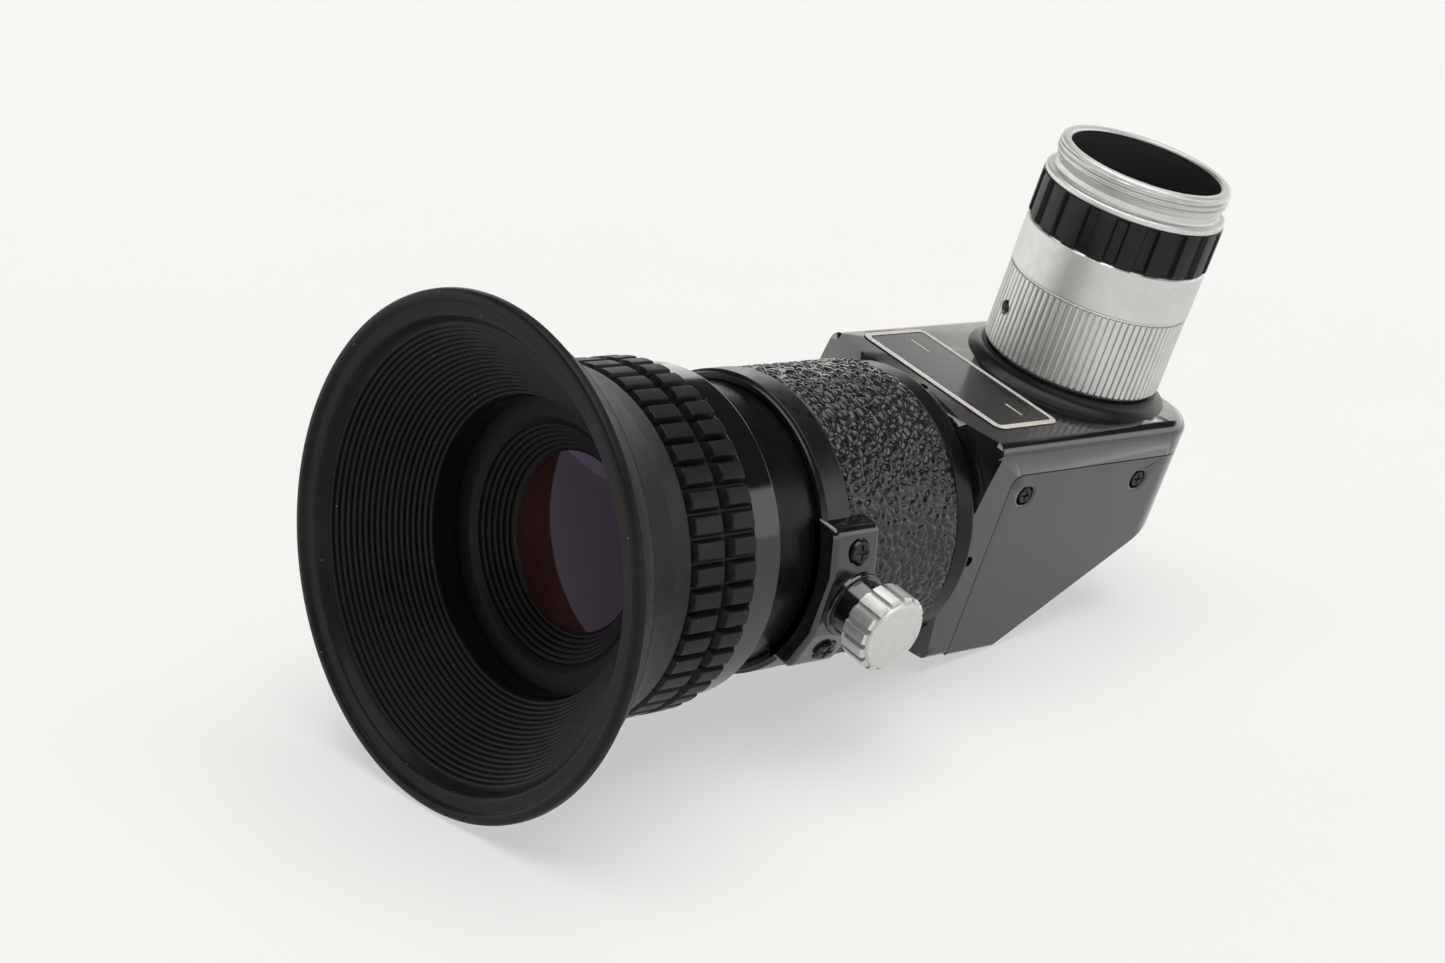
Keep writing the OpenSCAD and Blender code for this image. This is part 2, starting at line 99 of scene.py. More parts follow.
def drill(mesh, drills):
    """The mesh with round holes in it; a drill is (start, end, radius) in millimetres."""
    tools = []
    for start, end, r in drills:
        start, end = Vector(start) * MM, Vector(end) * MM
        shape = bmesh.new()
        turn = (end - start).to_track_quat("Z", "Y").to_matrix().to_4x4()
        bmesh.ops.create_cone(shape, cap_ends=True, segments=40, radius1=r * MM, radius2=r * MM,
                              depth=(end - start).length, matrix=Matrix.Translation((start + end) / 2) @ turn)
        tools.append(bpy.data.meshes.new("drill"))
        shape.to_mesh(tools[-1])
        shape.free()
    return carve(mesh, tools)


def finish_mesh(name, mesh, body, material, replaces=(), slot=None, sharp=32, drills=(), even=True):
    """Links a mesh as a piece that rides on a body and stands for CAD nodes.

    Edges past the sharp angle stay hard, drills are cut as holes, and even weighs
    the normals by face area so that flat faces shade flat.
    """
    if drills:
        mesh = drill(mesh, drills)
        mesh.name = name
    looks = material if isinstance(material, list) else [material]
    bands = [min(f.material_index, len(looks) - 1) for f in mesh.polygons]
    mesh.materials.clear()
    for one in looks:
        mesh.materials.append(one)
    mesh.polygons.foreach_set("material_index", bands)
    piece = bpy.data.objects.new(name, mesh)
    bpy.context.scene.collection.objects.link(piece)
    mesh.polygons.foreach_set("use_smooth", [True] * len(mesh.polygons))
    mesh.set_sharp_from_angle(angle=math.radians(sharp))
    if even:
        normals = piece.modifiers.new("even_normals", "WEIGHTED_NORMAL")
        normals.keep_sharp = True
    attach(piece, body)
    if replaces:
        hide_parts(*replaces)
    return piece


def mesh_from(name, points, faces, materials=None):
    """Mesh from points in millimetres, with its faces turned outwards."""
    mesh = bpy.data.meshes.new(name)
    mesh.from_pydata([tuple(c * MM for c in p) for p in points], [], faces)
    if materials is not None:
        mesh.polygons.foreach_set("material_index", materials)
    tidy = bmesh.new()
    tidy.from_mesh(mesh)
    bmesh.ops.recalc_face_normals(tidy, faces=tidy.faces)
    tidy.to_mesh(mesh)
    tidy.free()
    return mesh


def fillet(outline, default=0.12, steps=3):
    """Closed outline with rounded corners; a third value in a point is its own radius."""
    rounded = []
    count = len(outline)
    for i, corner in enumerate(outline):
        here = Vector(corner[:2])
        size = corner[2] if len(corner) > 2 else default
        before = Vector(outline[i - 1][:2]) - here
        after = Vector(outline[(i + 1) % count][:2]) - here
        if size <= 0 or before.length < 1e-6 or after.length < 1e-6:
            rounded.append(tuple(here))
            continue
        angle = before.angle(after)
        if angle > math.radians(170) or angle < math.radians(4):
            rounded.append(tuple(here))
            continue
        cut = min(size / math.tan(angle / 2), 0.45 * before.length, 0.45 * after.length)
        first = here + before.normalized() * cut
        last = here + after.normalized() * cut
        for k in range(steps + 1):
            t = k / steps
            point = first.lerp(here, t).lerp(here.lerp(last, t), t)
            rounded.append(tuple(point))
    return rounded


def about_y(station, r, angle):
    """Place on the barrel's axis."""
    return (r * math.cos(angle), station, AXIS_Z + r * math.sin(angle))


def about_z(station, r, angle):
    """Place on the coupling's axis."""
    return (r * math.cos(angle), r * math.sin(angle), station)


def about_x(station, r, angle):
    """Place on the knob's axis."""
    return (station, KNOB_Y + r * math.cos(angle), AXIS_Z + r * math.sin(angle))


def lathe(name, outline, place, body, material, sides=SIDES, shape=None, paint=None, **more):
    """Turned piece from a closed outline of (station, radius).

    shape(station, radius, angle) may return a new radius, and paint(index) the
    material index of the band that starts at an outline point.
    """
    points = []
    for k in range(sides):
        angle = 2 * math.pi * k / sides
        for station, r in outline:
            points.append(place(station, shape(station, r, angle) if shape else r, angle))
    rows = len(outline)
    faces, bands = [], []
    for k in range(sides):
        a, b = k * rows, (k + 1) % sides * rows
        for i in range(rows):
            j = (i + 1) % rows
            faces.append((a + i, a + j, b + j, b + i))
            bands.append(paint(i) if paint else 0)
    return finish_mesh(name, mesh_from(name, points, faces, bands), body, material, **more)


def refined(node, body, material, rounds, slot=None, drills=()):
    """A CAD node's shape with its sharp edges rounded, standing for that node.

    rounds lists (width, steps, choose), where choose(edge) says which edges take that width.
    """
    shape = bmesh.new()
    shape.from_mesh(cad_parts[node].data)
    bmesh.ops.remove_doubles(shape, verts=shape.verts, dist=0.002 * MM)
    bmesh.ops.dissolve_limit(shape, angle_limit=math.radians(0.6), verts=shape.verts,
                             edges=shape.edges, delimit=set())
    bmesh.ops.dissolve_degenerate(shape, edges=shape.edges, dist=0.004 * MM)
    for width, steps, choose in rounds:
        edges = [e for e in shape.edges if e.is_manifold and e.calc_face_angle(0) > math.radians(28)
                 and choose(e)]
        bmesh.ops.bevel(shape, geom=edges, offset=width * MM, offset_type="OFFSET", segments=steps,
                        profile=0.5, affect="EDGES", clamp_overlap=False, material=-1, loop_slide=True)
    bmesh.ops.triangulate(shape, faces=[f for f in shape.faces if len(f.verts) > 4])
    mesh = bpy.data.meshes.new(node + "_finished")
    shape.to_mesh(mesh)
    shape.free()
    return finish_mesh(node + "_finished", mesh, body, material, replaces=[node], slot=slot, drills=drills)


def every_edge(edge):
    return True


# ---- materials ----
class Look:
    """A node-based material: a Principled shader and short ways to feed it."""

    def __init__(self, name, **sockets):
        self.material = bpy.data.materials.new(name)
        self.material.use_nodes = True
        self.tree = self.material.node_tree
        self.shader = self.tree.nodes["Principled BSDF"]
        self.place = self.tree.nodes.new("ShaderNodeTexCoord").outputs["Object"]
        for socket, value in sockets.items():
            self.shader.inputs[socket.replace("_", " ")].default_value = value

    def node(self, kind, links=(), **values):
        made = self.tree.nodes.new("ShaderNode" + kind)
        for key, value in values.items():
            if hasattr(made, key):
                setattr(made, key, value)
            else:
                made.inputs[key.replace("_", " ")].default_value = value
        for socket, source in dict(links).items():
            self.tree.links.new(source, made.inputs[socket])
        return made

    def noise(self, size, detail=3.0, roughness=0.55, place=None):
        """Noise whose features are about size millimetres across."""
        made = self.node("TexNoise", {"Vector": place or self.place},
                         Scale=1 / (size * MM), Detail=detail, Roughness=roughness)
        return made.outputs["Fac"]

    def spots(self, size, reach):
        """Small round specks on a grid of size millimetres, 1 inside and 0 outside."""
        cell = self.node("TexVoronoi", {"Vector": self.place}, Scale=1 / (size * MM), Randomness=1.0)
        edge = self.node("Math", {0: cell.outputs["Distance"]}, operation="LESS_THAN")
        edge.inputs[1].default_value = reach
        keep = self.node("SeparateColor", {"Color": cell.outputs["Color"]})
        some = self.node("Math", {0: keep.outputs["Red"]}, operation="GREATER_THAN")
        some.inputs[1].default_value = 0.72
        both = self.node("Math", {0: edge.outputs[0], 1: some.outputs[0]}, operation="MULTIPLY")
        return both.outputs[0]

    def remap(self, value, low, high, start=0.3, end=0.7):
        made = self.node("MapRange", {"Value": value})
        made.inputs["From Min"].default_value = start
        made.inputs["From Max"].default_value = end
        made.inputs["To Min"].default_value = low
        made.inputs["To Max"].default_value = high
        return made.outputs["Result"]

    def mix(self, factor, first, second):
        made = self.node("Mix", data_type="RGBA")
        self.tree.links.new(factor, made.inputs["Factor"])
        for socket, value in (("A", first), ("B", second)):
            port = [s for s in made.inputs if s.name == socket and s.type == "RGBA"][0]
            if isinstance(value, tuple):
                port.default_value = value + (1.0,)
            else:
                self.tree.links.new(value, port)
        return [s for s in made.outputs if s.type == "RGBA"][0]

    def colour(self, source):
        self.tree.links.new(source, self.shader.inputs["Base Color"])

    def rough(self, source):
        self.tree.links.new(source, self.shader.inputs["Roughness"])

    def bump(self, height, depth, strength=1.0, normal=None):
        """Bump of depth millimetres."""
        made = self.node("Bump", {"Height": height}, Strength=strength, Distance=depth * MM)
        if normal:
            self.tree.links.new(normal, made.inputs["Normal"])
        self.tree.links.new(made.outputs["Normal"], self.shader.inputs["Normal"])
        return made.outputs["Normal"]


def enamel(name):
    """Glossy black enamel with a faint orange peel and specks of dust."""
    look = Look(name, Specular_IOR_Level=0.6, Coat_Weight=0.55, Coat_Roughness=0.09)
    cloud = look.noise(6, 4)
    base = look.mix(cloud, (0.0045, 0.0045, 0.0042), (0.008, 0.0078, 0.0072))
    dust = look.spots(1.9, 0.03)
    look.colour(look.mix(dust, base, (0.22, 0.21, 0.19)))
    look.rough(look.remap(look.noise(2.5, 5, 0.65), 0.11, 0.2))
    look.bump(look.noise(0.5, 2), 0.0025, 0.5)
    return look.material


def satin_black(name, axis="Y", grey=0.006, roughness=0.28, gloss=0.36):
    """Satin black anodising with faint turning lines across an axis."""
    look = Look(name, Specular_IOR_Level=gloss)
    stretch = look.node("Mapping", {"Vector": look.place})
    stretch.inputs["Scale"].default_value = (0.02, 1, 0.02) if axis == "Y" else (0.02, 0.02, 1)
    lines = look.noise(0.12, 2, 0.6, stretch.outputs["Vector"])
    cloud = look.noise(5, 4)
    dark = tuple(grey * c for c in (0.75, 0.75, 0.72))
    light = tuple(grey * c for c in (1.3, 1.28, 1.2))
    dust = look.spots(1.4, 0.035)
    look.colour(look.mix(dust, look.mix(cloud, dark, light), (0.2, 0.19, 0.17)))
    look.rough(look.remap(look.noise(1.5, 4, 0.6), roughness - 0.04, roughness + 0.06))
    look.bump(lines, 0.002, 0.4)
    return look.material


def gloss_black():
    look = Look("polished_black", Specular_IOR_Level=0.42, Coat_Weight=0.36, Coat_Roughness=0.04)
    smear = look.noise(3, 5, 0.7)
    base = look.mix(smear, (0.004, 0.004, 0.004), (0.007, 0.0067, 0.006))
    look.colour(look.mix(look.spots(1.6, 0.035), base, (0.2, 0.19, 0.17)))
    look.rough(look.remap(smear, 0.07, 0.15))
    return look.material


def rubber(name, gloss):
    """Matt black rubber with fine grain, a bloom and dust."""
    look = Look(name, Specular_IOR_Level=gloss, Sheen_Weight=0.01, Sheen_Roughness=0.5)
    bloom = look.remap(look.noise(7, 6, 0.7), 0, 1, 0.35, 0.75)
    base = look.mix(bloom, (0.0032, 0.0032, 0.0028), (0.007, 0.0068, 0.0061))
    fluff = look.remap(look.noise(0.35, 6, 0.75), 0, 1, 0.7, 0.82)
    base = look.mix(fluff, base, (0.04, 0.037, 0.032))
    look.colour(look.mix(look.spots(1.15, 0.045), base, (0.3, 0.26, 0.19)))
    look.rough(look.remap(look.noise(1.2, 5, 0.65), 0.38, 0.5))
    look.bump(look.noise(0.11, 3, 0.6), 0.005, 0.5)
    return look.material


def leatherette():
    """Pebbled leatherette; the pebbles are in the mesh and this adds the fine grain."""
    look = Look("leatherette", Specular_IOR_Level=0.36, Coat_Weight=0.28, Coat_Roughness=0.12)
    cloud = look.noise(1.6, 5, 0.65)
    base = look.mix(cloud, (0.002, 0.002, 0.0019), (0.0055, 0.0054, 0.005))
    look.colour(look.mix(look.spots(0.9, 0.05), base, (0.2, 0.19, 0.16)))
    look.rough(look.remap(look.noise(0.6, 4, 0.6), 0.2, 0.34))
    look.bump(look.noise(0.17, 4, 0.65), 0.016, 0.7)
    return look.material


def satin_silver(name, axis="Z", level=0.66, roughness=0.44):
    """Satin chromed metal with turning lines and a few handling marks."""
    look = Look(name, Metallic=1.0)
    stretch = look.node("Mapping", {"Vector": look.place})
    scales = {"Z": (0.02, 0.02, 1), "X": (1, 0.02, 0.02)}
    stretch.inputs["Scale"].default_value = scales[axis]
    lines = look.noise(0.09, 3, 0.6, stretch.outputs["Vector"])
    stain = look.remap(look.noise(4, 6, 0.7), 0, 1, 0.3, 0.75)
    light = tuple(level * c for c in (1.0, 1.0, 0.99))
    dull = tuple(level * c for c in (0.9, 0.895, 0.88))
    speck = look.remap(look.noise(0.22, 4, 0.7), 0, 1, 0.74, 0.8)
    look.colour(look.mix(speck, look.mix(stain, light, dull), (0.32, 0.31, 0.29)))
    look.rough(look.remap(look.noise(1.0, 4, 0.6), roughness - 0.04, roughness + 0.08))
    look.bump(lines, 0.003, 0.5)
    return look.material


def plain_metal(name, colour, roughness=0.3, metallic=1.0):
    """Small metal parts, with fine scratches and stain."""
    look = Look(name, Metallic=metallic)
    dull = tuple(0.7 * c for c in colour)
    look.colour(look.mix(look.remap(look.noise(0.8, 5, 0.7), 0, 1), colour, dull))
    look.rough(look.remap(look.noise(0.4, 4, 0.6), roughness - 0.06, roughness + 0.12))
    look.bump(look.noise(0.07, 3, 0.7), 0.004, 0.5)
    return look.material


def coated_lens(name):
    """Lens glass seen over a dark interior, with an amber body and a violet coating."""
    look = Look(name, Roughness=0.03, Specular_IOR_Level=0.3)
    look.shader.inputs["Specular Tint"].default_value = (0.5, 0.52, 1.0, 1.0)
    look.colour(look.mix(look.remap(look.noise(9, 3, 0.5), 0, 1, 0.35, 0.65),
                         (0.016, 0.0055, 0.0045), (0.023, 0.0095, 0.0075)))
    return look.material


def clear_glass():
    look = Look("prism_glass", Roughness=0.02, IOR=1.52, Transmission_Weight=0.9)
    look.colour(look.mix(look.noise(5, 2), (0.86, 0.92, 0.93), (0.93, 0.96, 0.96)))
    return look.material


def label_black():
    look = Look("label_ground", Specular_IOR_Level=0.6, Coat_Weight=0.4, Coat_Roughness=0.08)
    look.colour(look.mix(look.noise(1.2, 4, 0.6), (0.0055, 0.0055, 0.0055), (0.009, 0.0088, 0.0085)))
    look.rough(look.remap(look.noise(0.7, 3), 0.2, 0.28))
    return look.material


def label_cream():
    look = Look("label_line", Specular_IOR_Level=0.4)
    look.colour(look.mix(look.remap(look.noise(0.5, 5, 0.7), 0, 1, 0.45, 0.7),
                         (0.6, 0.58, 0.53), (0.42, 0.4, 0.36)))
    look.rough(look.remap(look.noise(0.7, 3), 0.4, 0.55))
    return look.material


ENAMEL = enamel("black_enamel")
SATIN = satin_black("satin_black")
DEEP_SATIN = satin_black("deep_satin_black", "Y", 0.0035, 0.26, 0.15)
SATIN_Z = satin_black("satin_black_turned", "Z", 0.007, 0.34, 0.25)
DEAD_BLACK = satin_black("dull_black", "Y", 0.0035, 0.46, 0.14)
BORE_BLACK = satin_black("bore_black", "Z", 0.022, 0.5, 0.3)
GLOSS = gloss_black()
RUBBER = rubber("soft_rubber", 0.16)
PAD_RUBBER = rubber("soft_rubber_pads", 0.21)
LEATHER = leatherette()
SILVER = satin_silver("satin_silver")
SILVER_X = satin_silver("satin_silver_knob", "X", 0.66, 0.55)
STEEL = plain_metal("bright_steel", (0.62, 0.61, 0.58))
DARK_STEEL = plain_metal("blackened_steel", (0.05, 0.047, 0.043), 0.3)
BRASS = plain_metal("brass", (0.7, 0.5, 0.2), 0.28)
LENS = coated_lens("coated_glass")
GLASS = clear_glass()
LABEL_GROUND = label_black()
LABEL_LINE = label_cream()


# ---- eyecup ----
def eyecup_outline():
    """Closed outline of the rubber cup, from the grip's rear edge round the rim and back."""
    sleeve_r = 14.9
    base_r = 16.3
    outside = [(GRIP_Y, sleeve_r, 0), (GRIP_Y, base_r, 0.15), (-67.55, base_r + 0.05, 0.1),
               (-67.85, 17.1, 0.12), (-70.4, 17.75, 2), (-73.4, 19.35, 3), (-75.9, 21.2, 1.5),
               (-76.35, 21.75, 0.12), (-76.85, 22.1, 0.1), (-76.98, 22.08, 0), (-77.1, 22.25, 0.05),
               (-78.3, 22.75, 1.2), (-79.3, 23.75, 0.8), (RIM_Y + 1.1, RIM_R - 0.02, 0.5),
               (RIM_Y + 0.15, RIM_R - 0.1, 0.5), (RIM_Y + 0.05, RIM_R - 0.95, 0.4),
               (RIM_Y + 0.5, RIM_R - 1.3, 0.15), (RIM_Y + 0.62, RIM_R - 2.5, 0.5),
               (RIM_Y + 1.45, RIM_R - 2.95, 0.25)]
    points = fillet(outside, 0.1, 4)
    # fine concentric ribs down the inside of the cone
    ribs, steps, height = 18, 8, 0.22
    start, end = Vector((RIM_Y + 1.75, RIM_R - 3.2)), Vector((-72.0, 14.3))
    across = Vector((end - start)).orthogonal().normalized()
    for i in range(ribs):
        for k in range(steps):
            t = (i + k / steps) / ribs
            lift = height * abs(math.sin(math.pi * k / steps)) ** 0.7
            point = start.lerp(end, t) - across * lift * math.copysign(1, across.y)
            points.append((point.x, point.y))
    points += fillet([(-71.7, 14.0, 0.12), (-69.7, 14.0, 0), (-69.7, sleeve_r, 0)], 0, 2)
    return points


def grip_pads(count=46):
    """Two rows of bevelled blocks standing on the grip."""
    made = bmesh.new()
    base_r, top_r = 16.25, 17.18
    pitch = 2 * math.pi / count
    for y0, y1 in ((-67.5, -63.2), (-62.85, GRIP_Y - 0.1)):
        for k in range(count):
            middle = (k + 0.5) * pitch
            corners = []
            for r, inset, share in ((base_r, 0.0, 0.47), (top_r, 0.52, 0.33)):
                for y in (y0 + inset, y1 - inset):
                    for side in (-share, 0.0, share):
                        angle = middle + side * pitch
                        bulge = r + (0.03 if side == 0 and r == top_r else 0)
                        corners.append(made.verts.new([c * MM for c in about_y(y, bulge, angle)]))
            a = corners
            for quad in ((0, 1, 4, 3), (1, 2, 5, 4), (6, 7, 10, 9), (7, 8, 11, 10), (0, 1, 7, 6),
                         (1, 2, 8, 7), (3, 4, 10, 9), (4, 5, 11, 10), (0, 3, 9, 6), (2, 5, 11, 8)):
                made.faces.new([a[i] for i in quad])
    bmesh.ops.recalc_face_normals(made, faces=made.faces)
    sharp = [e for e in made.edges if e.is_manifold and e.calc_face_angle(0) > math.radians(20)]
    bmesh.ops.bevel(made, geom=sharp, offset=0.09 * MM, offset_type="OFFSET", segments=2,
                    profile=0.5, affect="EDGES", clamp_overlap=True)
    mesh = bpy.data.meshes.new("eyecup_grip_pads")
    made.to_mesh(mesh)
    made.free()
    return mesh


def build_eyecup():
    lathe("eyecup_rubber", eyecup_outline(), about_y, "eyepiece", RUBBER, sides=224,
          replaces=["eyecup"], slot="rubber")
    finish_mesh("eyecup_grip_pads", grip_pads(), "eyepiece", PAD_RUBBER, slot="rubber")


# ---- eyepiece ----
def build_eyepiece():
    front, rear = GLOSS_Y[0], GLOSS_Y[1]
    lathe("eyepiece_ring_polished", fillet([
        (rear, 13.0, 0), (rear, GLOSS_R - 0.5, 0.1), (rear - 0.35, GLOSS_R, 0.25),
        (GRIP_Y + 0.03, GLOSS_R, 0.12), (GRIP_Y + 0.03, 14.9, 0), (front, 14.9, 0),
        (front, 12.0, 0), (-57.5, 12.0, 0), (-57.5, 13.0, 0)], 0.1, 4),
        about_y, "eyepiece", GLOSS, replaces=["eyepiece_ring"], slot="gloss_black")
    # grooved ring round the eye lens: five fine steps down to the glass
    grooves = []
    for i in range(6):
        y, r = -69.0 + 0.4 * i, 11.35 - 0.43 * i
        grooves += [(y, r, 0), (y + 0.3, r - 0.06, 0.03), (y + 0.3, r - 0.26, 0.04)]
    lathe("lens_retainer_grooved", fillet([
        (-66.0, 12.0, 0), (-68.4, 12.0, 0), (-68.4, 14.3, 0), (-69.55, 14.3, 0.1),
        (-69.5, 12.1, 0.1), (-69.15, 11.55, 0.1)] + grooves + [(-66.4, 8.5, 0.05), (-66.05, 8.5, 0.05),
                                                              (-66.0, 9.6, 0)], 0.05, 3),
        about_y, "eyepiece", DEAD_BLACK, replaces=["lens_retainer"], slot="satin_black")
    # eye lens: shallow domed front, more domed than its CAD node, and a flat rear
    edge_y, rear_y, dome_height, core, rim = -65.97, -62.5, 1.05, 0.02, 11.88
    dome = [(edge_y - dome_height * (1 - (r / 11.9) ** 2), r) for r in np.linspace(core, rim, 24)]
    lathe("eye_lens_polished", dome + [(rear_y, rim), (rear_y, core)], about_y, "eyepiece", LENS,
          replaces=["eye_lens"], slot="coated_glass")
    for node, look in (("draw_tube", DEEP_SATIN), ("field_stop", DEAD_BLACK), ("lens_spacer", DEAD_BLACK),
                       ("field_lens", GLASS), ("focus_rack", BRASS), ("rack_screws", STEEL)):
        dress(node, look)


# ---- barrel ----
def leather_height(angle, y):
    """Height of the pebbled grain as a share of its relief: 0 in the creases, 1 on the pebbles.

    The angle and y say where, with y in millimetres. noise_vector has no seed here, so the
    pebbles lie differently in each run.
    """
    r = 15.0
    at = Vector((r * math.cos(angle), y, r * math.sin(angle)))
    warp = noise.noise_vector(at * 0.8) * 0.3
    spread, _ = noise.voronoi((at + warp) * 0.92)
    crease = min(1.0, (spread[1] - spread[0]) * 2.4)
    return 0.86 * crease ** 0.5 + 0.14 * (noise.noise(at * 4.2) * 0.5 + 0.5)


def build_leather():
    """Leatherette sleeve with its pebbles as real relief, turned down at both edges."""
    y0, y1 = span("leatherette_sleeve", "y")
    inner = radius("barrel_tube", "x")
    outer = radius("leatherette_sleeve", "x") + 0.06
    sides, rows, relief, edge = 620, 104, 0.36, 0.3
    outline = [(y0 + 0.02, inner)]
    outline += [(y0 + 0.04 + (y1 - y0 - 0.08) * k / rows, outer) for k in range(rows + 1)]
    outline += [(y1 - 0.02, inner)]

    def pebbles(y, r, angle):
        if r == inner:
            return r
        near = min(y - y0, y1 - y)
        fade = min(1.0, near / edge)
        return outer - relief + relief * leather_height(angle, y) * fade - 0.12 * (1 - fade) ** 2

    lathe("leatherette_pebbled", outline, about_y, "housing", LEATHER, sides=sides, shape=pebbles,
          replaces=["leatherette_sleeve"], slot="leatherette", sharp=80, even=False)


def build_barrel():
    high = span("barrel_tube", "y")[1]
    collar = span("leatherette_sleeve", "y")[1]
    face = span("front_ring", "y")[0]
    ring_end = span("front_ring", "y")[1]
    bore, deep, spigot = 14.15, -33.0, 11.4
    lathe("barrel_tube_turned", fillet([
        (face + 0.45, bore, 0), (deep, bore, 0), (deep, 10.0, 0), (high, 10.0, 0), (high, spigot, 0),
        (FRONT_Y, spigot, 0), (FRONT_Y, 14.0, 0), (collar, 14.3, 0), (collar, 14.7, 0), (ring_end, 14.7, 0),
        (ring_end, 14.6, 0), (face + 0.45, 14.6, 0)], 0.05, 3),
        about_y, "housing", SATIN, replaces=["barrel_tube"], slot="satin_black")
    lathe("barrel_collar_enamelled", fillet([
        (collar + 0.03, 14.35, 0), (collar + 0.05, 14.6, 0.06), (collar + 0.3, 14.75, 0.12),
        (FRONT_Y - 0.75, 14.75, 0.5), (FRONT_Y - 0.05, 14.35, 0.2), (FRONT_Y - 0.02, 13.8, 0)], 0.05, 4),
        about_y, "housing", DEEP_SATIN, slot="black_enamel")
    outer = radius("front_ring", "x")
    lathe("front_ring_turned", fillet([
        (face, 14.25, 0), (face + 0.4, 14.2, 0), (face + 0.45, 14.6, 0), (ring_end, 14.6, 0),
        (ring_end, outer - 0.1, 0.06), (ring_end - 0.28, outer, 0.08), (face + 0.42, outer, 0.1),
        (face + 0.22, outer - 0.28, 0.06), (face, outer - 0.38, 0.08)], 0.05, 3),
        about_y, "housing", SATIN, replaces=["front_ring"], slot="satin_black")


# ---- housing ----
def rounded_block(corner=5.5, top_round=1.3, foot_round=0.9, spare=0.004, steps=8):
    """Block round the casting: round rear corners, rounded upper and lower edges, open to the front."""
    foot = span("prism_housing", "z")[0]
    side, rear = HALF_W + spare, REAR_Y + spare
    layers = []
    for k in range(steps + 1):
        turn = math.pi / 2 * k / steps
        layers.append((foot + foot_round * (1 - math.cos(turn)), foot_round * (1 - math.sin(turn))))
    for k in range(steps, -1, -1):
        turn = math.pi / 2 * k / steps
        layers.append((TOP_Z - top_round * (1 - math.cos(turn)), top_round * (1 - math.sin(turn))))
    points = []
    for z, inset in layers:
        r = corner - inset
        outline = [(side - inset, FRONT_Y - 1)]
        for k in range(17):
            turn = math.pi / 2 * k / 16
            outline.append((side - corner + r * math.cos(turn), rear - corner + r * math.sin(turn)))
        outline += [(-x, y) for x, y in reversed(outline)]
        points += [(x, y, z) for x, y in outline]
    count = len(points) // len(layers)
    faces = [tuple(range(count)), tuple(range(len(points) - count, len(points)))]
    for layer in range(len(layers) - 1):
        for i in range(count):
            a, b = layer * count + i, layer * count + (i + 1) % count
            faces.append((a, b, b + count, a + count))
    return mesh_from("rounded_block", points, faces)


def trimmed_casting():
    """The casting's CAD shape, trimmed to the rounded block."""
    shape = bmesh.new()
    shape.from_mesh(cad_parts["prism_housing"].data)
    bmesh.ops.remove_doubles(shape, verts=shape.verts, dist=0.001 * MM)
    mesh = bpy.data.meshes.new("casting")
    shape.to_mesh(mesh)
    shape.free()
    return carve(mesh, [rounded_block()], "INTERSECT")


def joint_line(edge):
    """Edges of the cover along its joint line with the casting."""
    return all(v.co.z / MM > COVER_TOP - 1.6 or v.co.y / MM < COVER_FRONT + 0.05 for v in edge.verts)


def build_housing():
    finish_mesh("prism_housing_finished", trimmed_casting(), "housing", ENAMEL, replaces=["prism_housing"],
                slot="black_enamel", sharp=24)
    refined("prism_cover", "housing", ENAMEL, [(0.12, 2, joint_line), (0.5, 4, lambda e: not joint_line(e))],
            "black_enamel")
    for node, look in (("prism_holder", DEAD_BLACK), ("roof_prism", GLASS), ("prism_spring", BRASS),
                       ("spring_screws", STEEL)):
        dress(node, look)
    foot, top = span("swivel_socket", "z")
    rise = top - TOP_Z
    flare = [(TOP_Z + rise * k / 8, 9.98 + 1.22 * (1 - k / 8) ** 2.6) for k in range(9)]
    lathe("swivel_socket_flared", [(foot, 8.45), (foot, 9.6), (TOP_Z, 9.6)] + flare + [(top, 8.45)],
          about_z, "housing", SATIN_Z, replaces=["swivel_socket"], slot="black_enamel")
    for node, width in (("cover_screws", 0.07), ("barrel_screws", 0.05), ("bracket_screws", 0.07)):
        refined(node, "housing", DARK_STEEL, [(width, 2, every_edge)], "dark_steel")


